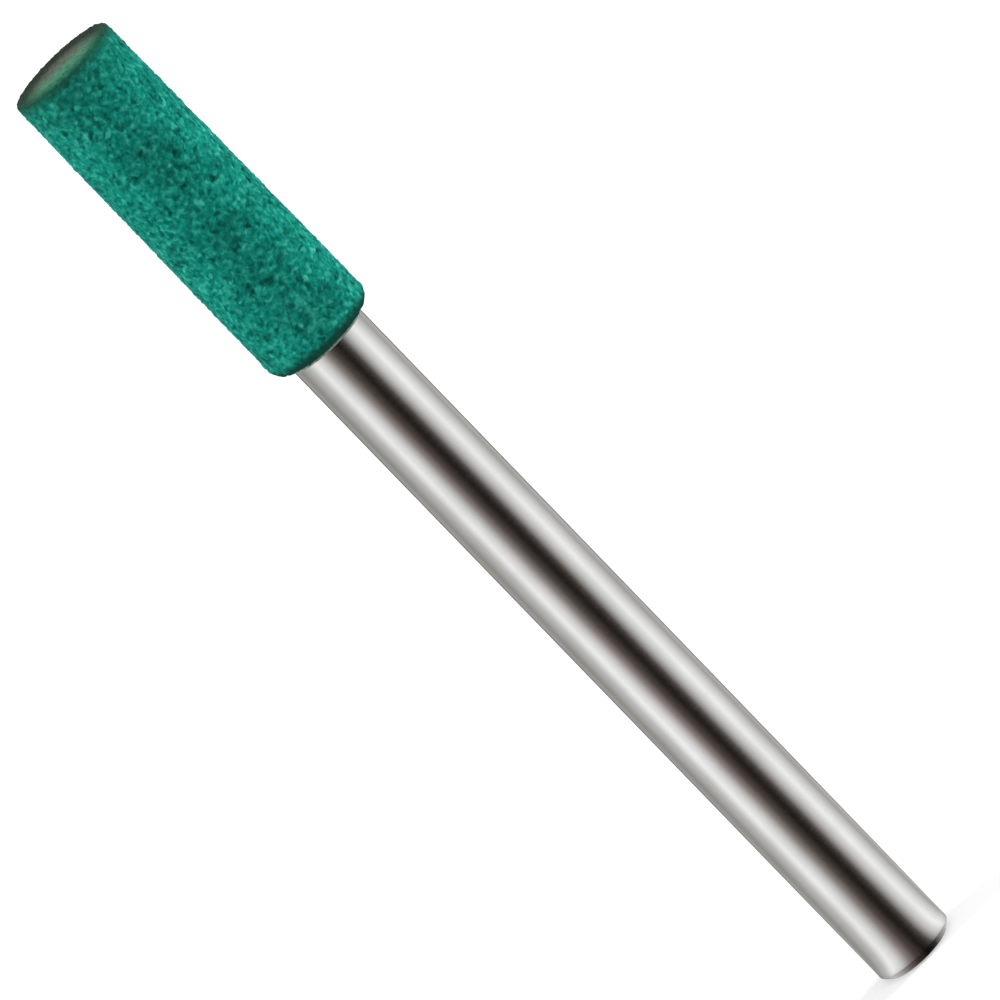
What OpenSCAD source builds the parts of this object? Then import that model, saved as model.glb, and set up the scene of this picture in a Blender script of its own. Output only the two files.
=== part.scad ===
// Mounted point: a straight abrasive head cemented onto the spigot of a steel mandrel.
// The mandrel stands on its free end, on the origin, with the head upwards along +Z.

/* [Mandrel] */
// Diameter of the plain shank that a collet grips
shank_d = 3; // [2.4:0.05:3.1]
// Length of plain shank from its free end to the shoulder under the head
shank_len = 28.8; // [15:0.1:60]
// Chamfer on the free end of the shank
shank_chamfer = 0.2; // [0.1:0.05:0.8]
// Diameter of the spigot inside the head
spigot_d = 2; // [1.2:0.05:2.4]
// Length of the spigot from the shoulder to its nose
spigot_len = 9; // [4:0.5:11]
// Chamfer on the nose of the spigot
spigot_chamfer = 0.25; // [0.05:0.05:0.5]

/* [Keying grooves] */
// Depth of the grooves that key the spigot into the cement
groove_depth = 0.15; // [0.05:0.01:0.3]
// Width of a groove at its floor
groove_floor = 0.3; // [0.1:0.05:0.5]
// Distance from one groove to the next
groove_pitch = 1.2; // [1:0.1:2]
// Plain spigot left at the shoulder and at the nose
groove_margin = 0.6; // [0.3:0.1:1.5]

/* [Cement] */
// Radial thickness of the cement round the spigot
cement_wall = 0.1; // [0.05:0.01:0.25]
// Thickness of the cement film between the shoulder and the head
cement_film = 0.1; // [0.04:0.01:0.2]
// Depth of cement beyond the nose of the spigot
cement_end = 0.2; // [0.05:0.05:0.5]

/* [Abrasive head] */
// Diameter of the head at its shank end
head_d = 4.2; // [4.15:0.05:8]
// Length of the head
head_len = 12.7; // [11:0.1:25]
// Draft of the head's side towards the tip, in degrees
head_draft = 0.3; // [0:0.05:1]
// Radius of the rounded edge at the shank end
rear_edge_r = 0.55; // [0.1:0.05:0.55]
// Radius of the worn edge at the tip
tip_edge_r = 0.12; // [0.05:0.01:0.5]
// Included angle of the drill point at the bottom of the bore, in degrees
bore_point_angle = 118; // [90:1:150]

/* [Hidden] */
$fn = 96;
round_steps = 12;

steel_colour = [0.74, 0.73, 0.72];
stone_colour = [0.09, 0.46, 0.40];
cement_colour = [0.62, 0.66, 0.58];

// Heights along the axis, from the free end of the shank
shoulder_z = shank_len;
nose_z = shoulder_z + spigot_len;
head_z = shoulder_z + cement_film;
tip_z = head_z + head_len;

// Blind bore in the head
bore_r = spigot_d / 2 + cement_wall;
bore_floor_z = nose_z + cement_end;
bore_point_z = bore_floor_z + bore_r / tan(bore_point_angle / 2);

// The grooves have flanks at 45 degrees and stand centred on the spigot
groove_mouth = groove_floor + 2 * groove_depth;
groove_room = spigot_len - 2 * groove_margin - groove_mouth;
groove_count = 1 + floor(groove_room / groove_pitch);
first_groove_z = shoulder_z + (spigot_len - (groove_count - 1) * groove_pitch) / 2;

// Radius of the head's straight side at height z
function side_r(z) = head_d / 2 - (z - head_z) * tan(head_draft);

// Centre of an edge rounding of radius r whose centre lies at height z
function edge_centre(r, z) = [side_r(z) - r / cos(head_draft), z];

// Points of a rounding of radius r about a centre, from angle a to angle b
function rounding(centre, r, a, b) = [
    for (i = [0 : round_steps])
        let (angle = a + (b - a) * i / round_steps)
        centre + r * [cos(angle), sin(angle)]
];

// The same points in the other order
function reversed(points) = [for (i = [len(points) - 1 : -1 : 0]) points[i]];

// One groove of the spigot, from its shoulder side to its nose side
function groove_points(z) = [
    [spigot_d / 2, z - groove_mouth / 2],
    [spigot_d / 2 - groove_depth, z - groove_floor / 2],
    [spigot_d / 2 - groove_depth, z + groove_floor / 2],
    [spigot_d / 2, z + groove_mouth / 2]
];

// Outside of the spigot from the shoulder to its nose, with all its grooves
function spigot_points() = concat(
    [[spigot_d / 2, shoulder_z]],
    [for (i = [0 : groove_count - 1], p = groove_points(first_groove_z + i * groove_pitch)) p],
    [[spigot_d / 2, nose_z - spigot_chamfer], [spigot_d / 2 - spigot_chamfer, nose_z], [0, nose_z]]
);

// Wall, floor and drill point of the bore, from its mouth inwards
function bore_points() = [
    [bore_r, head_z],
    [bore_r, bore_floor_z],
    [0, bore_point_z]
];

// Turned steel mandrel: chamfered shank, shoulder and grooved spigot in one piece
module steel_mandrel() {
    color(steel_colour)
        rotate_extrude()
            polygon(concat(
                [[0, 0],
                 [shank_d / 2 - shank_chamfer, 0],
                 [shank_d / 2, shank_chamfer],
                 [shank_d / 2, shoulder_z]],
                spigot_points()
            ));
}

// Outside of the head from its rear face to its tip, with a rounding at each end
function head_points() = concat(
    rounding(edge_centre(rear_edge_r, head_z + rear_edge_r), rear_edge_r, -90, head_draft),
    rounding(edge_centre(tip_edge_r, tip_z - tip_edge_r), tip_edge_r, head_draft, 90)
);

// Pressed and fired abrasive head with its blind bore
module abrasive_head() {
    color(stone_colour)
        rotate_extrude()
            polygon(concat(
                bore_points(),
                [[0, tip_z]],
                reversed(head_points())
            ));
}

// Cement that fills the bore round the spigot and beds the shoulder against the head
module bonding_cement() {
    color(cement_colour)
        rotate_extrude()
            polygon(concat(
                [[shank_d / 2, shoulder_z]],
                spigot_points(),
                reversed(bore_points()),
                [[shank_d / 2, head_z]]
            ));
}

abrasive_head();
steel_mandrel();
bonding_cement();
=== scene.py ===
# %% [markdown]
# A mounted point, dressed for the camera.
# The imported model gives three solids: a green abrasive head, a steel mandrel, and the cement
# between them. This lesson keeps their places and sizes, and gives each one a dense mesh and a
# finish: fired grit for the head, ground steel for the mandrel, set cement for the seam.

# %% Load the frame
import math

import bmesh
import bpy
from mathutils import Matrix, Vector, noise


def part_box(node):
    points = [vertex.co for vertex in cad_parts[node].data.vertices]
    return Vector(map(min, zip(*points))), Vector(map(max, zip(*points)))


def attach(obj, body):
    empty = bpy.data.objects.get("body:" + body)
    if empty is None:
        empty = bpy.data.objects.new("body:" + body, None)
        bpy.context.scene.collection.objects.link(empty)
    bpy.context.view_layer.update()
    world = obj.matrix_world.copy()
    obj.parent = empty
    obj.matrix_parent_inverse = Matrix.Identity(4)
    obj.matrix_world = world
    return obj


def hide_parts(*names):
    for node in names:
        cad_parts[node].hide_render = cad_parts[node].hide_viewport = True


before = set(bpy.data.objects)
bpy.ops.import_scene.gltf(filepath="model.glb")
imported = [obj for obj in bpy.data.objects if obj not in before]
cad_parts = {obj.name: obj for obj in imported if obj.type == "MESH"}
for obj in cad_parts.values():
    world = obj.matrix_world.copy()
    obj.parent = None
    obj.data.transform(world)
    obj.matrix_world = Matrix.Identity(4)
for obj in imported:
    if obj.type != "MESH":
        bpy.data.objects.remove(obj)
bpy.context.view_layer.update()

MM = 0.001
print("frame nodes:", sorted(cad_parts))

# %% [markdown]
# Every size that a box can show is read from the solids, so the meshes can't drift away from them.
# A box gives a turned piece's largest radius and its two ends. The sizes that no box shows, such
# as the edge roundings and the grooves inside the head, are repeated here in millimetres. One of
# them differs: the chamfer of the free end is 0.2 mm on the solid, because the solid has to stand
# on that end in a simulation and toppled with 0.3 mm. The real one looks wider, so it is wider here.

# %% Read the sizes
mandrel_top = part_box("steel_mandrel")[1]
shank_r = round(mandrel_top.x / MM, 2)
nose_z = round(mandrel_top.z / MM, 2)
shoulder_z = round(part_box("bonding_cement")[0].z / MM, 2)
rear_z = round(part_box("abrasive_head")[0].z / MM, 2)
tip_z = round(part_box("abrasive_head")[1].z / MM, 2)

HEAD_R = 2.1
HEAD_DRAFT_DEG = 0.3
REAR_EDGE_R = 0.55
TIP_EDGE_R = 0.12
SHANK_CHAMFER = 0.27
SPIGOT_R = 1.0
SPIGOT_CHAMFER = 0.25
GROOVE_DEPTH = 0.15
GROOVE_FLOOR = 0.3
GROOVE_PITCH = 1.2
GROOVE_COUNT = 7
CEMENT_END = 0.2
BORE_R = 1.1
BORE_POINT_DEG = 118
bore_floor_z = nose_z + CEMENT_END
bore_point_z = bore_floor_z + BORE_R / math.tan(math.radians(BORE_POINT_DEG / 2))
print("shank radius", shank_r, "shoulder at", shoulder_z, "head from", rear_z, "to", tip_z, "mm")

# %% [markdown]
# All three pieces are turned shapes, so one helper makes their meshes: it spins a half section,
# a list of radius and height pairs in millimetres, round the Z axis. A point on the axis becomes
# one pole. The Spin tool and the Screw modifier do the same, but writing the rings out keeps
# track of which vertex lies on which point of the section, and the head needs that.

# %% Helpers that draw a half section
FEWEST_ARC_STEPS = 3


def straight(start, end, step):
    """Points from start up to, and without, end, about a step apart."""
    count = max(1, round(math.dist(start, end) / step))
    return [tuple(a + (b - a) * i / count for a, b in zip(start, end)) for i in range(count)]


def arc(centre, radius, first_deg, last_deg, step):
    """Points of an arc from one angle up to, and without, the other, about a step apart."""
    sweep = math.radians(last_deg - first_deg)
    count = max(FEWEST_ARC_STEPS, round(abs(sweep) * radius / step))
    angles = [math.radians(first_deg) + sweep * i / count for i in range(count)]
    return [(centre[0] + radius * math.cos(a), centre[1] + radius * math.sin(a)) for a in angles]


print("section helpers:", straight.__name__, "and", arc.__name__)

# %% Helpers that spin a section and place the piece
ON_AXIS = 1e-6


def turned_mesh(name, section, around):
    """A closed mesh of a section that starts and ends on the axis, and the vertices of each ring."""
    verts, faces, rings = [], [], []
    for radius, height in section:
        count = around if radius > ON_AXIS else 1
        rings.append([len(verts) + k for k in range(count)])
        for k in range(count):
            turn = 2 * math.pi * k / around
            verts.append((radius * math.cos(turn) * MM, radius * math.sin(turn) * MM, height * MM))
    for lower, upper in zip(rings, rings[1:]):
        for k in range(around):
            corners = (lower[k % len(lower)], lower[(k + 1) % len(lower)],
                       upper[(k + 1) % len(upper)], upper[k % len(upper)])
            faces.append(tuple(dict.fromkeys(corners)))
    mesh = bpy.data.meshes.new(name)
    mesh.from_pydata(verts, [], faces)
    shape = bmesh.new()
    shape.from_mesh(mesh)
    bmesh.ops.recalc_face_normals(shape, faces=shape.faces)
    shape.to_mesh(mesh)
    shape.free()
    mesh.shade_smooth()
    print(name, "has", len(mesh.vertices), "vertices and", len(mesh.polygons), "faces")
    return mesh, rings


def add_piece(name, mesh, material, node, slot):
    """Puts a mesh into the scene as the piece that stands for a CAD node."""
    piece = bpy.data.objects.new(name, mesh)
    bpy.context.scene.collection.objects.link(piece)
    mesh.materials.append(material)
    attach(piece, "root")
    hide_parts(node)
    print(name, "stands for", node, "in", material.name)


print("piece helpers:", turned_mesh.__name__, "and", add_piece.__name__)

# %% [markdown]
# Materials are trees of nodes. One small function adds a node, sets what is fixed on it, and
# links what comes from another node. Colours are written as sRGB hex values, the way a colour
# picker shows them, and turned into the linear light that the renderer works in.

# %% Helpers for materials
def linear(hex_colour):
    """A linear RGBA colour from an sRGB hex value such as #1f7f6e."""
    channels = [int(hex_colour[i:i + 2], 16) / 255 for i in (1, 3, 5)]
    return [c / 12.92 if c <= 0.04045 else ((c + 0.055) / 1.055) ** 2.4 for c in channels] + [1.0]


def add_node(tree, kind, inputs=None, stops=None, **settings):
    """Adds a node. An input is a value, or another node's output, which is then linked.

    The stops of a colour ramp are pairs of a position and a hex colour.
    """
    node = tree.nodes.new(kind)
    for name, value in settings.items():
        setattr(node, name, value)
    for socket, value in (inputs or {}).items():
        if isinstance(value, bpy.types.NodeSocket):
            tree.links.new(value, node.inputs[socket])
        else:
            node.inputs[socket].default_value = value
    for i, (position, hex_colour) in enumerate(stops or []):
        ramp = node.color_ramp.elements
        stop = ramp[i] if i < len(ramp) else ramp.new(position)
        stop.position = position
        stop.color = linear(hex_colour)
    return node


def new_material(name):
    """An empty material with its output node."""
    material = bpy.data.materials.new(name)
    material.use_nodes = True
    material.node_tree.nodes.clear()
    output = material.node_tree.nodes.new("ShaderNodeOutputMaterial")
    return material, material.node_tree, output


print("mid grey #808080 is", round(linear("#808080")[0], 3), "in linear light")

# %% [markdown]
# The head is abrasive grit in a glassy bond, pressed in a mould and fired. Close up it is a
# crust of angular grains, here about 0.18 mm across, with gaps between them and pits where a grain
# has broken out. A bump map alone would leave the outline smooth, so the grains are real relief:
# each vertex of a dense mesh is moved by a cell pattern whose cells are the grains.

# %% Half section of the head
def side_r(z):
    """Radius of the head's drafted side at a height."""
    return HEAD_R - (z - rear_z) * math.tan(math.radians(HEAD_DRAFT_DEG))


def edge_centre(radius, z):
    """Centre of an edge rounding that touches the drafted side."""
    return side_r(z) - radius / math.cos(math.radians(HEAD_DRAFT_DEG)), z


GRIT_STEP = 0.047
TIP_EDGE_STEP = 0.03
BORE_STEP = 1.0
HEAD_AROUND = 270

rear_centre = edge_centre(REAR_EDGE_R, rear_z + REAR_EDGE_R)
tip_centre = edge_centre(TIP_EDGE_R, tip_z - TIP_EDGE_R)
rear_round = arc(rear_centre, REAR_EDGE_R, -90, HEAD_DRAFT_DEG, GRIT_STEP)
tip_round = arc(tip_centre, TIP_EDGE_R, HEAD_DRAFT_DEG, 90, TIP_EDGE_STEP)
side_foot = (rear_centre[0] + REAR_EDGE_R, rear_centre[1])
bore_section = [(0, bore_point_z)]
bore_section += straight((BORE_R, bore_floor_z), (BORE_R, rear_z), BORE_STEP)
outer_section = straight((BORE_R, rear_z), (rear_centre[0], rear_z), GRIT_STEP)
outer_section += rear_round
outer_section += straight(side_foot, tip_round[0], GRIT_STEP)
outer_section += tip_round
outer_section += straight((tip_centre[0], tip_z), (0, tip_z), GRIT_STEP)
outer_section += [(0, tip_z)]
head_mesh, head_rings = turned_mesh("abrasive_head_grit", bore_section + outer_section, HEAD_AROUND)

# %% [markdown]
# The relief adds up from what fired grit is made of: grains that stand at different heights, the
# joints between them, a few pits, a fine roughness and a slow wave. Each grain also gets a random
# number, which the colour uses later. The Displace modifier could move the mesh by a texture, but
# its cells give no number for each grain.

# %% Relief of the grit
GRAIN_SIZE = 0.18
GRAIN_LIFT = 0.035
JOINT_DEPTH = 0.02
JOINT_WIDTH = 0.35
PIT_DEPTH = 0.025
PIT_SHARE = 0.05
FINE, FINE_SIZE = 0.014, 0.11
WAVE, WAVE_SIZE = 0.008, 0.9
SWIRL, SWIRL_SIZE = 0.15, 0.4
# Plain noise, taken at three places, bends the cells: the vector noise is new in each session
SWIRL_SHIFTS = (Vector((0, 0, 0)), Vector((17.3, 0, 0)), Vector((0, 29.1, 0)))
# Spread this far apart, the middles of neighbouring grains draw numbers of their own
LUCK_SPREAD = 31.7


def grit(point):
    """Relief of the fired grit in mm at a point in mm, and a random number for the grain there."""
    swirl = SWIRL * Vector([noise.noise(point / SWIRL_SIZE + shift) for shift in SWIRL_SHIFTS])
    cell = noise.voronoi((point + swirl) / GRAIN_SIZE)
    near, next_near = cell[0][0], cell[0][1]
    luck = 0.5 + 0.5 * noise.cell(cell[1][0] * LUCK_SPREAD)
    joint = max(0.0, 1 - (next_near - near) / JOINT_WIDTH)
    lift = GRAIN_LIFT * (luck - 0.5) * (1 - joint) - JOINT_DEPTH * joint
    if luck < PIT_SHARE:
        lift -= PIT_DEPTH * (1 - joint)
    lift += FINE * noise.noise(point / FINE_SIZE) + WAVE * noise.noise(point / WAVE_SIZE)
    return lift, luck


print("grains", GRAIN_SIZE, "mm across,", PIT_SHARE, "of them broken out")

# %% Grains and pits of the head
SEAM_BAND = 0.06
SEAM_HEIGHT = 0.02

relief = [0.0] * len(head_mesh.vertices)
grain = [0.5] * len(head_mesh.vertices)
facing = [0.0] * len(head_mesh.vertices)
for ring in head_rings[len(bore_section):]:
    for index in ring:
        vertex = head_mesh.vertices[index]
        point = vertex.co / MM
        relief[index], grain[index] = grit(point)
        facing[index] = vertex.normal.z
        # The rear face stays flat where the cement lies on it
        over_shank = math.hypot(point.x, point.y) < shank_r + SEAM_BAND
        if over_shank and point.z < rear_z + SEAM_HEIGHT:
            relief[index] = 0.0
normals = [vertex.normal.copy() for vertex in head_mesh.vertices]
for vertex, normal, lift in zip(head_mesh.vertices, normals, relief):
    vertex.co += normal * lift * MM
for name, values in (("relief", relief), ("grain", grain), ("facing", facing)):
    head_mesh.attributes.new(name, "FLOAT", "POINT").data.foreach_set("value", values)
print("relief from", round(min(relief), 3), "to", round(max(relief), 3), "mm")

# %% [markdown]
# The head is green silicon carbide in a green vitrified bond, and matt. Its colour follows the
# relief that moved the mesh: high grains come out paler, and the gaps and pits darker the deeper
# they lie, which is painted shade. The bond adds a mottle of about the same size as the grains. A
# colour ramp turns the sum into a green.

# %% Body colour of the grit, with painted shade in its hollows
MOTTLE_SIZE = 0.2
MOTTLE_LOW, MOTTLE_HIGH = 0.28, 0.72
RELIEF_DARK = -0.06
RELIEF_PALE = 0.03
RELIEF_SHARE = 0.8
DARKEST_SUM, PALEST_SUM = 0.2, 1.75
BODY_GREENS = [(0.0, "#00463d"), (0.3, "#006b5f"), (0.55, "#0b8170"), (1.0, "#38a591")]

grit_material, tree, output = new_material("fired_green_grit")
place = add_node(tree, "ShaderNodeTexCoord").outputs["Object"]
depth = add_node(tree, "ShaderNodeAttribute", attribute_name="relief").outputs["Fac"]
blotch = add_node(tree, "ShaderNodeTexNoise", {
    "Vector": place, "Scale": 1 / (MOTTLE_SIZE * MM), "Detail": 1.0, "Distortion": 0.3}).outputs["Fac"]
mottle = add_node(tree, "ShaderNodeMapRange", {
    "Value": blotch, "From Min": MOTTLE_LOW, "From Max": MOTTLE_HIGH}).outputs["Result"]
# Painted shade: the deeper the relief, the darker the green, most of all in the gaps and pits
grain_tone_and_hollow_shade = add_node(tree, "ShaderNodeMapRange", {
    "Value": depth, "From Min": RELIEF_DARK, "From Max": RELIEF_PALE,
    "To Max": RELIEF_SHARE}).outputs["Result"]
mixed = add_node(tree, "ShaderNodeMath", {0: grain_tone_and_hollow_shade, 1: mottle}, operation="ADD").outputs[0]
shade = add_node(tree, "ShaderNodeMapRange", {
    "Value": mixed, "From Min": DARKEST_SUM, "From Max": PALEST_SUM}).outputs["Result"]
body = add_node(tree, "ShaderNodeValToRGB", {"Fac": shade}, BODY_GREENS).outputs["Color"]
print("grit mottled at", MOTTLE_SIZE, "mm")

# %% [markdown]
# No two grains are alike. The random number stored for each grain picks a few that are freshly
# broken and bright, and about a quarter that are darker. The pits have the lowest numbers, so they
# come out darkest: in these hollows the dark is painted shade. Faint clouds, a millimetre or so
# across, lie over all of them, as from uneven firing. A texture could do this too, but its spots
# would not keep to the grains of the mesh.

# %% Bright grains, dark grains and clouds
# Sockets of a colour Mix node: 0 is the factor, 6 and 7 are the colours, and output 2 is the result
MIX_FACTOR, MIX_FIRST, MIX_SECOND, MIX_RESULT = 0, 6, 7, 2
SPARK_FROM, SPARK_SHARE, SPARK_GREEN = 0.92, 0.35, "#50c4b4"
PEPPER_BELOW, PEPPER_SHARE, PEPPER_GREEN = 0.26, 0.62, "#00332c"
CLOUD_SIZE = 1.3
CLOUD_TONES = [(0.3, "#dbe3e1"), (0.65, "#ffffff")]

luck = add_node(tree, "ShaderNodeAttribute", attribute_name="grain").outputs["Fac"]
spark = add_node(tree, "ShaderNodeMapRange", {
    "Value": luck, "From Min": SPARK_FROM, "From Max": 1.0, "To Max": SPARK_SHARE}).outputs["Result"]
sparked = add_node(tree, "ShaderNodeMix", {
    MIX_FACTOR: spark, MIX_FIRST: body, MIX_SECOND: linear(SPARK_GREEN)},
    data_type="RGBA").outputs[MIX_RESULT]
# Dark grains at random, and darkest of all the pits, where the dark is painted shade
dark_grain_and_pit_shade = add_node(tree, "ShaderNodeMapRange", {
    "Value": luck, "From Min": PEPPER_BELOW, "From Max": 0.0, "To Max": PEPPER_SHARE}).outputs["Result"]
grain_and_pit_shaded = add_node(tree, "ShaderNodeMix", {
    MIX_FACTOR: dark_grain_and_pit_shade, MIX_FIRST: sparked, MIX_SECOND: linear(PEPPER_GREEN)},
    data_type="RGBA").outputs[MIX_RESULT]
clouds = add_node(tree, "ShaderNodeTexNoise", {
    "Vector": place, "Scale": 1 / (CLOUD_SIZE * MM), "Detail": 2.0}).outputs["Fac"]
cloud_tone = add_node(tree, "ShaderNodeValToRGB", {"Fac": clouds}, CLOUD_TONES).outputs["Color"]
clouded = add_node(tree, "ShaderNodeMix", {
    MIX_FACTOR: 1.0, MIX_FIRST: grain_and_pit_shaded, MIX_SECOND: cloud_tone},
    data_type="RGBA", blend_type="MULTIPLY").outputs[MIX_RESULT]
print("dark grains below", PEPPER_BELOW, "and bright ones above", SPARK_FROM)

# %% [markdown]
# Both ends of the head's side are darker. At the shank it is the rounded edge, which faces down,
# away from the lamps: the dark there is painted shade, and the facing attribute, the upward part of
# the smooth normal, finds it. The last stretch before the tip is scorched by work, so there the
# height along the axis is what counts.

# %% Painted shade on the rear edge, and the scorched end of the side
EDGE_SHADE_START, EDGE_SHADE_FULL, EDGE_SHADE_SHARE, EDGE_SHADE_GREEN = -0.05, -0.55, 0.92, "#06372f"
SCORCH_LENGTH, SCORCH_SHARE, SCORCH_GREEN = 1.4, 0.4, "#0f4f3c"

slope = add_node(tree, "ShaderNodeAttribute", attribute_name="facing").outputs["Fac"]
# Painted shade on the rounded rear edge, where it faces down
underside_shade = add_node(tree, "ShaderNodeMapRange", {
    "Value": slope, "From Min": EDGE_SHADE_START, "From Max": EDGE_SHADE_FULL, "To Max": EDGE_SHADE_SHARE}).outputs["Result"]
edge_shaded = add_node(tree, "ShaderNodeMix", {
    MIX_FACTOR: underside_shade, MIX_FIRST: clouded, MIX_SECOND: linear(EDGE_SHADE_GREEN)},
    data_type="RGBA").outputs[MIX_RESULT]
axes = add_node(tree, "ShaderNodeSeparateXYZ", {"Vector": place})
scorch = add_node(tree, "ShaderNodeMapRange", {
    "Value": axes.outputs["Z"], "From Min": (tip_z - SCORCH_LENGTH) * MM, "From Max": tip_z * MM,
    "To Max": SCORCH_SHARE}).outputs["Result"]
scorched = add_node(tree, "ShaderNodeMix", {
    MIX_FACTOR: scorch, MIX_FIRST: edge_shaded, MIX_SECOND: linear(SCORCH_GREEN)},
    data_type="RGBA").outputs[MIX_RESULT]
print("side scorched over the last", SCORCH_LENGTH, "mm")

# %% [markdown]
# The flat tip has been at work. Its grains are loaded with grey dust, which leans to one side and
# leaves the other a pale green. The rim is burnt dark, in a band that is wider on the dusty side.
# Both could be painted on the mesh by hand. Here they are worked out from the place on the tip, in
# millimetres from the axis, so they need no image and stay on the tip when a length changes.

# %% Dust on the tip
DUST_REACH = 1.4
DUST_LEAN = 0.7
DUST_MOTTLE = 0.3
DUST_TONES = [(0.1, "#236b52"), (0.32, "#4d846a"), (0.6, "#565a50"), (1.0, "#474a42")]
TIP_FACING_START, TIP_FACING_FULL = 0.9, 0.99

lean = add_node(tree, "ShaderNodeMapRange", {
    "Value": axes.outputs["Y"], "From Min": -DUST_REACH * MM, "From Max": DUST_REACH * MM,
    "To Max": DUST_LEAN}).outputs["Result"]
uneven = add_node(tree, "ShaderNodeMath", {0: mottle, 1: DUST_MOTTLE}, operation="MULTIPLY").outputs[0]
dust = add_node(tree, "ShaderNodeMath", {0: lean, 1: uneven}, operation="ADD").outputs[0]
dust_tone = add_node(tree, "ShaderNodeValToRGB", {"Fac": dust}, DUST_TONES).outputs["Color"]
on_tip = add_node(tree, "ShaderNodeMapRange", {
    "Value": slope, "From Min": TIP_FACING_START, "From Max": TIP_FACING_FULL}).outputs["Result"]
dusted = add_node(tree, "ShaderNodeMix", {
    MIX_FACTOR: on_tip, MIX_FIRST: scorched, MIX_SECOND: dust_tone},
    data_type="RGBA").outputs[MIX_RESULT]
print("dust from", -DUST_REACH, "to", DUST_REACH, "mm across the tip")

# %% Burnt rim of the tip
BURN_START = 1.3
BURN_FULL = 2.05
BURN_LEAN = 1.2
BURN_DEPTH = 0.35
BURN_SHARE = 0.9
BURNT_GREEN, BURNT_DUST = "#0c4636", "#262822"
ACROSS = (1.0, 1.0, 0.0)

flat_place = add_node(tree, "ShaderNodeVectorMath", {
    0: place, 1: ACROSS}, operation="MULTIPLY").outputs["Vector"]
distance = add_node(tree, "ShaderNodeVectorMath", {0: flat_place}, operation="LENGTH").outputs["Value"]
leant = add_node(tree, "ShaderNodeMath", {
    0: lean, 1: BURN_LEAN * MM, 2: distance}, operation="MULTIPLY_ADD").outputs[0]
rim = add_node(tree, "ShaderNodeMapRange", {
    "Value": leant, "From Min": BURN_START * MM, "From Max": BURN_FULL * MM,
    "To Max": BURN_SHARE}).outputs["Result"]
at_end = add_node(tree, "ShaderNodeMapRange", {
    "Value": axes.outputs["Z"], "From Min": (tip_z - BURN_DEPTH) * MM,
    "From Max": tip_z * MM}).outputs["Result"]
burnt = add_node(tree, "ShaderNodeMath", {0: rim, 1: at_end}, operation="MULTIPLY").outputs[0]
burnt_tone = add_node(tree, "ShaderNodeMix", {
    MIX_FACTOR: dust, MIX_FIRST: linear(BURNT_GREEN), MIX_SECOND: linear(BURNT_DUST)},
    data_type="RGBA").outputs[MIX_RESULT]
colour = add_node(tree, "ShaderNodeMix", {
    MIX_FACTOR: burnt, MIX_FIRST: dusted, MIX_SECOND: burnt_tone},
    data_type="RGBA").outputs[MIX_RESULT]
print("rim burnt over the last", BURN_DEPTH, "mm")

# %% [markdown]
# What is left is the skin of each grain: a fine bump below the size of the mesh, a high roughness,
# and a low specular level, because a porous surface traps the light that a glazed one would mirror.

# %% Skin of the grains
SKIN_SIZE = 0.06
SKIN_DEPTH = 0.01

fine = add_node(tree, "ShaderNodeTexNoise", {
    "Vector": place, "Scale": 1 / (SKIN_SIZE * MM), "Detail": 2.0}).outputs["Fac"]
rough_skin = add_node(tree, "ShaderNodeBump", {
    "Height": fine, "Strength": 0.3, "Distance": SKIN_DEPTH * MM}).outputs["Normal"]
shader = add_node(tree, "ShaderNodeBsdfPrincipled", {
    "Base Color": colour, "Roughness": 0.9, "Specular IOR Level": 0.08, "Normal": rough_skin})
tree.links.new(shader.outputs["BSDF"], output.inputs["Surface"])
add_piece("abrasive_head_grit", head_mesh, grit_material, "abrasive_head", "stone")

# %% [markdown]
# The mandrel is one bar of steel, turned at both ends and ground bright along the shank. The
# shank shows; the grooved spigot is hidden in the head but keeps its form here too. The corners of
# the chamfer are rounded by less than a tenth of a millimetre, which is what catches the light on
# real steel. A Bevel modifier with weights could round them too. In a half section, two short arcs
# are simpler.

# %% Half section of the mandrel
def spigot_section():
    """Outside of the spigot from the shoulder to its nose, with its keying grooves."""
    mouth = GROOVE_FLOOR + 2 * GROOVE_DEPTH
    groove_r = SPIGOT_R - GROOVE_DEPTH
    first = (shoulder_z + nose_z - (GROOVE_COUNT - 1) * GROOVE_PITCH) / 2
    points = [(SPIGOT_R, shoulder_z)]
    for i in range(GROOVE_COUNT):
        middle = first + i * GROOVE_PITCH
        points += [(SPIGOT_R, middle - mouth / 2), (groove_r, middle - GROOVE_FLOOR / 2)]
        points += [(groove_r, middle + GROOVE_FLOOR / 2), (SPIGOT_R, middle + mouth / 2)]
    return points + [(SPIGOT_R, nose_z - SPIGOT_CHAMFER), (SPIGOT_R - SPIGOT_CHAMFER, nose_z)]


CHAMFER_DEG = 45
CORNER_R = 0.08
CORNER_STEP = 0.012
SHANK_STEP = 0.4
TURNED_AROUND = 192
SHARP_DEG = 35

corner_set_back = CORNER_R * math.tan(math.radians(CHAMFER_DEG / 2))
foot_corner = (shank_r - SHANK_CHAMFER - corner_set_back, CORNER_R)
shank_corner = (shank_r - CORNER_R, SHANK_CHAMFER + corner_set_back)
shank_section = [(0, 0)]
shank_section += arc(foot_corner, CORNER_R, -90, -CHAMFER_DEG, CORNER_STEP)
shank_section += arc(shank_corner, CORNER_R, -CHAMFER_DEG, 0, CORNER_STEP)
shank_section += straight((shank_r, shank_corner[1]), (shank_r, shoulder_z), SHANK_STEP)
shank_section += [(shank_r, shoulder_z)]
mandrel_section = shank_section + spigot_section() + [(0, nose_z)]
mandrel_mesh, _ = turned_mesh("mandrel_ground_steel", mandrel_section, TURNED_AROUND)
mandrel_mesh.set_sharp_from_angle(angle=math.radians(SHARP_DEG))

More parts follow.
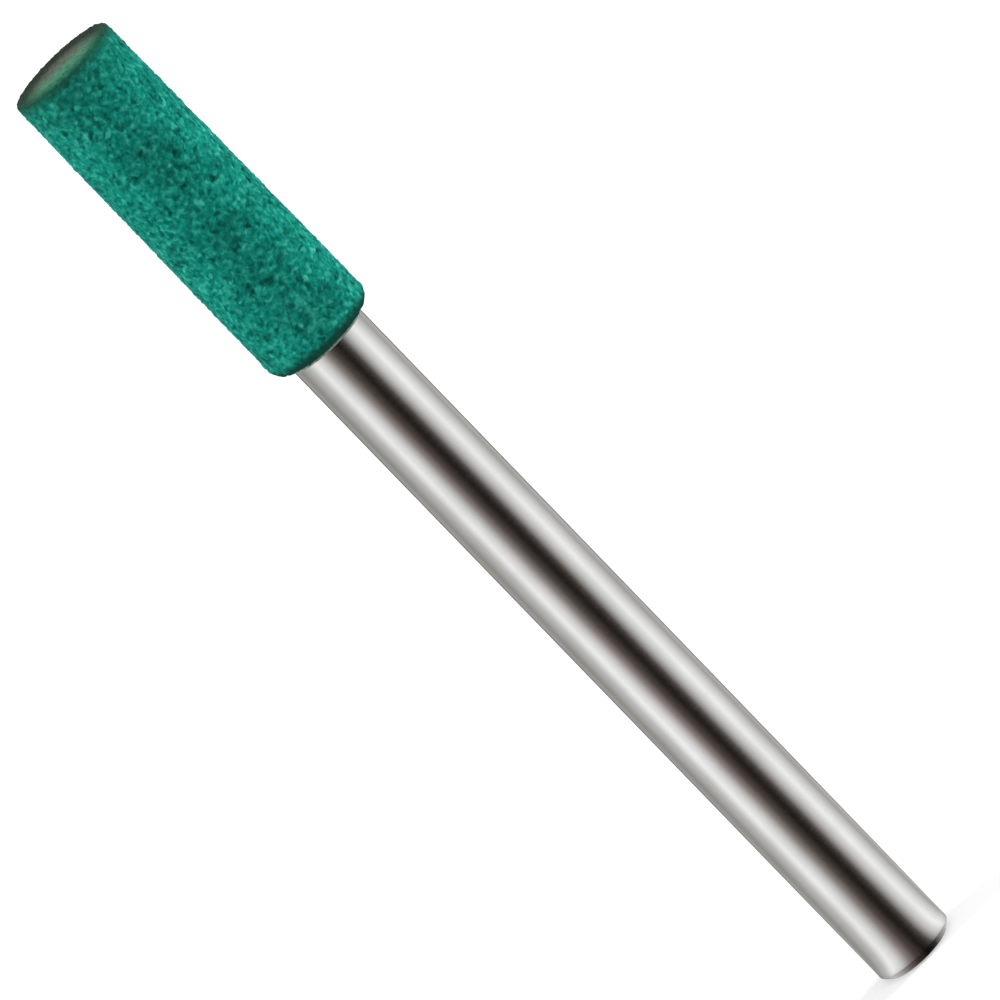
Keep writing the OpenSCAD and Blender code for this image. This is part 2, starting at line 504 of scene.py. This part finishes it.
# %% [markdown]
# Ground steel is a bright metal with soft reflections. Centreless grinding leaves rings so fine
# that they only blur what it mirrors. They are drawn here as noise that is short along the shank
# and long across it, coarser than real ones, because a true 5 micron lay is far below a pixel.
# Slow smears change the tone a little. The metal keeps its default index of refraction.

# %% Ground bright steel
LAY_SIZE = 0.09
LAY_DEPTH = 0.004
LAY_STRETCH = (0.06, 0.06, 1.0)
LAY_LOW, LAY_HIGH = 0.3, 0.7
SMOOTHEST, ROUGHEST = 0.13, 0.2
SMEAR_SIZE = 2.2
STEEL_TONES = [(0.3, "#dcdcdb"), (0.7, "#e6e6e6")]

steel_material, tree, output = new_material("ground_bright_steel")
place = add_node(tree, "ShaderNodeTexCoord").outputs["Object"]
stretched = add_node(tree, "ShaderNodeMapping", {
    "Vector": place, "Scale": LAY_STRETCH}).outputs["Vector"]
rings = add_node(tree, "ShaderNodeTexNoise", {
    "Vector": stretched, "Scale": 1 / (LAY_SIZE * MM), "Detail": 3.0}).outputs["Fac"]
smears = add_node(tree, "ShaderNodeTexNoise", {
    "Vector": place, "Scale": 1 / (SMEAR_SIZE * MM), "Detail": 4.0}).outputs["Fac"]
steel_tone = add_node(tree, "ShaderNodeValToRGB", {"Fac": smears}, STEEL_TONES).outputs["Color"]
sheen = add_node(tree, "ShaderNodeMapRange", {
    "Value": rings, "From Min": LAY_LOW, "From Max": LAY_HIGH,
    "To Min": SMOOTHEST, "To Max": ROUGHEST}).outputs["Result"]
lay = add_node(tree, "ShaderNodeBump", {
    "Height": rings, "Strength": 0.05, "Distance": LAY_DEPTH * MM}).outputs["Normal"]
shader = add_node(tree, "ShaderNodeBsdfPrincipled", {
    "Base Color": steel_tone, "Metallic": 1.0, "Roughness": sheen, "Normal": lay})
tree.links.new(shader.outputs["BSDF"], output.inputs["Surface"])
add_piece("mandrel_ground_steel", mandrel_mesh, steel_material, "steel_mandrel", "steel")

# %% [markdown]
# The cement fills the bore round the spigot. Only the film under the head shows, as a thin pale
# line where a little was squeezed out and wiped off. A coloured band on the shank would look
# painted, so the line is a shallow bead of uneven width, part of the cement's own mesh.

# %% Cement in the bore and at the seam
BEAD_PROUD = 0.025
BEAD_UNEVEN = 0.02
BEAD_STEPS = 6
BEAD_WAVES = 7

film = rear_z - shoulder_z
bead = [(shank_r + BEAD_PROUD * math.sin(math.pi * i / BEAD_STEPS), shoulder_z + film * i / BEAD_STEPS)
        for i in range(BEAD_STEPS + 1)]
cement_section = [(0, nose_z)] + spigot_section()[::-1] + bead
cement_section += [(BORE_R, rear_z), (BORE_R, bore_floor_z), (0, bore_point_z)]
cement_mesh, cement_rings = turned_mesh("bonding_cement_seam", cement_section, TURNED_AROUND)
first_bead = 1 + len(spigot_section())
for ring in cement_rings[first_bead + 1:first_bead + len(bead) - 1]:
    for index in ring:
        vertex = cement_mesh.vertices[index]
        outward = Vector((vertex.co.x, vertex.co.y, 0)).normalized()
        vertex.co += outward * BEAD_UNEVEN * noise.noise(outward * BEAD_WAVES) * MM
cement_mesh.set_sharp_from_angle(angle=math.radians(SHARP_DEG))

# %% [markdown]
# Set cement is a matt, chalky grey-green. Specks of filler give it a grain of its own, in its tone
# and as a slight bump. They are drawn coarser than real filler, so that they can show in the seam.

# %% Set cement
SPECK_SIZE = 0.15
SPECK_DEPTH = 0.02
CEMENT_TONES = [(0.35, "#5f7365"), (0.7, "#93a596")]

cement_material, tree, output = new_material("set_cement")
place = add_node(tree, "ShaderNodeTexCoord").outputs["Object"]
specks = add_node(tree, "ShaderNodeTexNoise", {
    "Vector": place, "Scale": 1 / (SPECK_SIZE * MM), "Detail": 3.0}).outputs["Fac"]
cement_tone = add_node(tree, "ShaderNodeValToRGB", {"Fac": specks}, CEMENT_TONES).outputs["Color"]
grainy = add_node(tree, "ShaderNodeBump", {
    "Height": specks, "Strength": 0.4, "Distance": SPECK_DEPTH * MM}).outputs["Normal"]
shader = add_node(tree, "ShaderNodeBsdfPrincipled", {
    "Base Color": cement_tone, "Roughness": 0.8, "Normal": grainy})
tree.links.new(shader.outputs["BSDF"], output.inputs["Surface"])
add_piece("bonding_cement_seam", cement_mesh, cement_material, "bonding_cement", "cement")

# %% [markdown]
# The camera stands far off with a long lens, so the tool's sides stay almost parallel. It looks
# down on the tip by a few degrees and is rolled, which lays the upright tool across the picture
# from corner to corner. The roll and the lens come from where the two ends of the axis should
# fall in the picture, in pixels of a 1000 by 1000 frame.

# %% Place of the tool in the picture
IMAGE_PX = 1000
TIP_PX = Vector((60.6, 65.1))
END_PX = Vector((918.6, 952.2))

to_tip = (TIP_PX - END_PX).normalized()
to_right = Vector((-to_tip.y, to_tip.x))
centre_px = Vector((IMAGE_PX / 2, IMAGE_PX / 2))
above_px = (TIP_PX - centre_px).dot(to_tip)
below_px = (centre_px - END_PX).dot(to_tip)
beside_px = (centre_px - END_PX).dot(to_right)
roll = math.atan2(-to_tip.x, -to_tip.y)
print("tool", round(above_px + below_px), "px long, rolled", round(math.degrees(roll), 1), "degrees")

# %% [markdown]
# The camera aims at the point of the axis that falls closest to the middle of the picture. The end
# of the tool is a little farther away than its tip and looks smaller for it, so the height of
# that point is found by trying, correcting and trying again.

# %% Aim and lens
CAMERA_DISTANCE = 0.8
LOOK_DOWN_DEG = 13.0
TRIES = 20

down = math.radians(LOOK_DOWN_DEG)
tool_length = tip_z * MM
aim_z = tool_length / 2
for _ in range(TRIES):
    near = CAMERA_DISTANCE - (tool_length - aim_z) * math.sin(down)
    far = CAMERA_DISTANCE + aim_z * math.sin(down)
    aim_z = tool_length * below_px * far / (above_px * near + below_px * far)
lens_px = above_px * near / ((tool_length - aim_z) * math.cos(down))
aim = Vector((beside_px / lens_px * CAMERA_DISTANCE, 0, aim_z))
print("aim at", round(aim_z / MM, 2), "mm up the axis")

# %% Camera
SENSOR_MM = 36
FAR_CLIP = 10

level_right = Vector((1, 0, 0))
level_up = Vector((0, math.sin(down), math.cos(down)))
back = Vector((0, -math.cos(down), math.sin(down)))
right = level_right * math.cos(roll) - level_up * math.sin(roll)
up = level_up * math.cos(roll) + level_right * math.sin(roll)
turn = Matrix((right, up, back)).transposed().to_4x4()
camera_data = bpy.data.cameras.new("camera")
camera_data.sensor_width = SENSOR_MM
camera_data.lens = lens_px * SENSOR_MM / IMAGE_PX
camera_data.clip_end = FAR_CLIP
camera = bpy.data.objects.new("camera", camera_data)
bpy.context.scene.collection.objects.link(camera)
camera.matrix_world = Matrix.Translation(aim + back * CAMERA_DISTANCE) @ turn
bpy.context.scene.camera = camera
print("lens", round(camera_data.lens), "mm")

# %% [markdown]
# The stage is a pale floor under a white sky, in metres. Both look white to the camera and in
# reflections, while the light that they throw on the tool stays at a plain level. The Light Path
# node tells the two apart. A brighter sky alone would also be white, but would flatten the head.

# %% Sky
SKY_LIGHT = 0.65


def seen_directly(tree):
    """1 for rays from the camera and for reflected or refracted ones, 0 for light on a surface."""
    path = add_node(tree, "ShaderNodeLightPath").outputs
    seen = add_node(tree, "ShaderNodeMath", {
        0: path["Is Camera Ray"], 1: path["Is Glossy Ray"]}, operation="MAXIMUM").outputs[0]
    return add_node(tree, "ShaderNodeMath", {
        0: seen, 1: path["Is Transmission Ray"]}, operation="MAXIMUM").outputs[0]


world = bpy.data.worlds.new("white_sky")
bpy.context.scene.world = world
world.use_nodes = True
tree = world.node_tree
tree.nodes.clear()
seen = seen_directly(tree)
strength = add_node(tree, "ShaderNodeMapRange", {"Value": seen, "To Min": SKY_LIGHT}).outputs["Result"]
sky = add_node(tree, "ShaderNodeBackground", {"Color": linear("#ffffff"), "Strength": strength})
add_node(tree, "ShaderNodeOutputWorld", {"Surface": sky.outputs["Background"]})
print("sky lights the tool at", SKY_LIGHT)

# %% [markdown]
# The floor is matt and pale, and glows for the rays that see it directly. It glows least round the
# tool, where the shadow has to show, and up to full white far off, where it meets the sky.

# %% Floor
FLOOR_LIFT = 0.25
LIFT_START = 0.15
LIFT_END = 0.4
FLOOR_RADIUS = 1.5
FLOOR_GREY = "#dadada"
DISC_SIDES = 128


def disc(name, radius, height, material, rim=0.0):
    """A round stage piece, centred on the tool's axis, with an upright rim where one is asked for."""
    shape = bmesh.new()
    bmesh.ops.create_circle(shape, cap_ends=True, segments=DISC_SIDES, radius=radius)
    if rim:
        wall = bmesh.ops.extrude_edge_only(shape, edges=shape.edges[:])["geom"]
        raised_verts = [item for item in wall if isinstance(item, bmesh.types.BMVert)]
        bmesh.ops.translate(shape, verts=raised_verts, vec=(0, 0, rim))
    mesh = bpy.data.meshes.new(name)
    shape.to_mesh(mesh)
    shape.free()
    mesh.materials.append(material)
    piece = bpy.data.objects.new(name, mesh)
    piece.location.z = height
    bpy.context.scene.collection.objects.link(piece)
    return piece


floor_material, tree, output = new_material("pale_floor")
matt = add_node(tree, "ShaderNodeBsdfDiffuse", {"Color": linear(FLOOR_GREY)}).outputs["BSDF"]
seen = seen_directly(tree)
place = add_node(tree, "ShaderNodeTexCoord").outputs["Object"]
distance = add_node(tree, "ShaderNodeVectorMath", {0: place}, operation="LENGTH").outputs["Value"]
whiter = add_node(tree, "ShaderNodeMapRange", {
    "Value": distance, "From Min": LIFT_START, "From Max": LIFT_END,
    "To Min": FLOOR_LIFT}).outputs["Result"]
lift = add_node(tree, "ShaderNodeMath", {0: seen, 1: whiter}, operation="MULTIPLY").outputs[0]
glow = add_node(tree, "ShaderNodeEmission", {
    "Color": linear("#ffffff"), "Strength": lift}).outputs["Emission"]
both = add_node(tree, "ShaderNodeAddShader", {0: matt, 1: glow}).outputs["Shader"]
tree.links.new(both, output.inputs["Surface"])
disc("floor", FLOOR_RADIUS, 0.0, floor_material)
print("floor radius", FLOOR_RADIUS, "m")

# %% [markdown]
# Bright steel shows nothing but its surroundings. A photographer lays cards round a steel rod:
# a black flag in front for a dark core, white cards at both sides, grey ones and a second flag
# behind. Seen from a little above, an upright rod mirrors the floor around it, so all the cards
# become one round card on the floor, shaded by direction in degrees from the camera's side. The
# card glows by itself, though it is no lamp, so the steel's streaks are a painted reflection. Its
# glow falls off close to the axis, a painted shadow of the tool's foot: the chamfer mirrors the
# floor at its own foot, and would turn white. Streaks painted on the steel would be simpler, but
# would not move with the camera.

# %% Shades of the cards, a painted reflection
CARD_GLOW = 1.14
FOOT_SHADOW_GLOW = 0.6
FOOT_SHADOW_START = 1.5
FOOT_SHADOW_END = 2.6
BLACK, SOFT_BLACK, BROWN, WARM_GREY = "#1a1613", "#2a2521", "#4f4641", "#8c827e"
DULL_GREY, GREY, LIGHT_GREY, PALE_GREY = "#93918c", "#a8a6a3", "#bcb9b6", "#c8c7c6"
OFF_WHITE, WHITE = "#dddddc", "#ffffff"
# Shades of the painted reflection, by direction in degrees from the camera's side
CARDS = [(-180, BLACK), (-165, SOFT_BLACK), (-150, GREY), (-120, DULL_GREY), (-85, PALE_GREY),
         (-65, WHITE), (-45, OFF_WHITE), (-25, WARM_GREY), (-10, BROWN), (10, BLACK),
         (20, SOFT_BLACK), (30, BROWN), (50, PALE_GREY), (75, WHITE), (125, GREY),
         (150, LIGHT_GREY), (165, SOFT_BLACK), (180, BLACK)]

card_material, tree, output = new_material("painted_reflection_cards")
place = add_node(tree, "ShaderNodeTexCoord").outputs["Object"]
direction = add_node(tree, "ShaderNodeTexGradient", {
    "Vector": place}, gradient_type="RADIAL").outputs["Fac"]
stops = [(0.5 + degrees / 360, card_shade) for degrees, card_shade in CARDS]
cards = add_node(tree, "ShaderNodeValToRGB", {"Fac": direction}, stops).outputs["Color"]
distance = add_node(tree, "ShaderNodeVectorMath", {0: place}, operation="LENGTH").outputs["Value"]
# Painted shadow: the glow is dimmer close to the axis, as if the tool's foot shaded the card
strength = add_node(tree, "ShaderNodeMapRange", {
    "Value": distance, "From Min": FOOT_SHADOW_START * MM, "From Max": FOOT_SHADOW_END * MM,
    "To Min": FOOT_SHADOW_GLOW, "To Max": CARD_GLOW}).outputs["Result"]
glow = add_node(tree, "ShaderNodeEmission", {"Color": cards, "Strength": strength}).outputs["Emission"]
tree.links.new(glow, output.inputs["Surface"])
print("cards in", len(CARDS), "directions")

# %% [markdown]
# The card lies just above the floor, glows by itself, and only reflections see it: it paints the
# steel's reflections. Its upright rim, which glows the same, keeps the white sky out of the
# flattest reflections, which would put light specks in the dark core of the shank.

# %% Lay the cards
CARD_RADIUS = 0.6
CARD_HEIGHT = 0.00002
CARD_RIM = 0.4
# The gradient's middle lies along +X of the disc, and this turns it to the camera's side
CARD_TURN_DEG = -90

card = disc("painted_reflection_cards", CARD_RADIUS, CARD_HEIGHT, card_material, CARD_RIM)
card.rotation_euler.z = math.radians(CARD_TURN_DEG)
card.visible_camera = False
card.visible_diffuse = False
card.visible_transmission = False
card.visible_volume_scatter = False
card.visible_shadow = False
print("card radius", CARD_RADIUS, "m, rim", CARD_RIM, "m")

# %% [markdown]
# Two softboxes stand low and a little behind the tool, left and right. They light the flanks of the
# head and leave its middle darker, which shows that it is round. A weak one in front fills the
# middle and a weak one above opens the tip. No lamp shows in the steel: its reflections are painted
# on the glowing cards.

# %% Lamps
LAMP_DISTANCE = 0.5


def softbox(name, azimuth_deg, height_deg, size, watts):
    """An area lamp that looks at the head. Azimuth 0 is the camera's side, positive to the right."""
    azimuth, rise = math.radians(azimuth_deg), math.radians(height_deg)
    level = Vector((math.sin(azimuth), -math.cos(azimuth), 0))
    away = level * math.cos(rise) + Vector((0, 0, math.sin(rise)))
    data = bpy.data.lights.new(name, "AREA")
    data.size = size
    data.energy = watts
    lamp = bpy.data.objects.new(name, data)
    lamp.location = away * LAMP_DISTANCE + Vector((0, 0, rear_z * MM))
    lamp.rotation_euler = away.to_track_quat("Z", "Y").to_euler()
    lamp.visible_glossy = False
    bpy.context.scene.collection.objects.link(lamp)
    print(name, "at", watts, "W")


softbox("left_softbox", azimuth_deg=-100, height_deg=16, size=0.2, watts=1.9)
softbox("right_softbox", azimuth_deg=100, height_deg=16, size=0.2, watts=2.4)
softbox("front_softbox", azimuth_deg=0, height_deg=20, size=0.3, watts=0.35)
softbox("top_softbox", azimuth_deg=20, height_deg=75, size=0.3, watts=0.3)

# %% [markdown]
# The render keeps plain view settings, so a colour comes out as it is written.

# %% Finish
bpy.context.scene.view_settings.view_transform = "Standard"
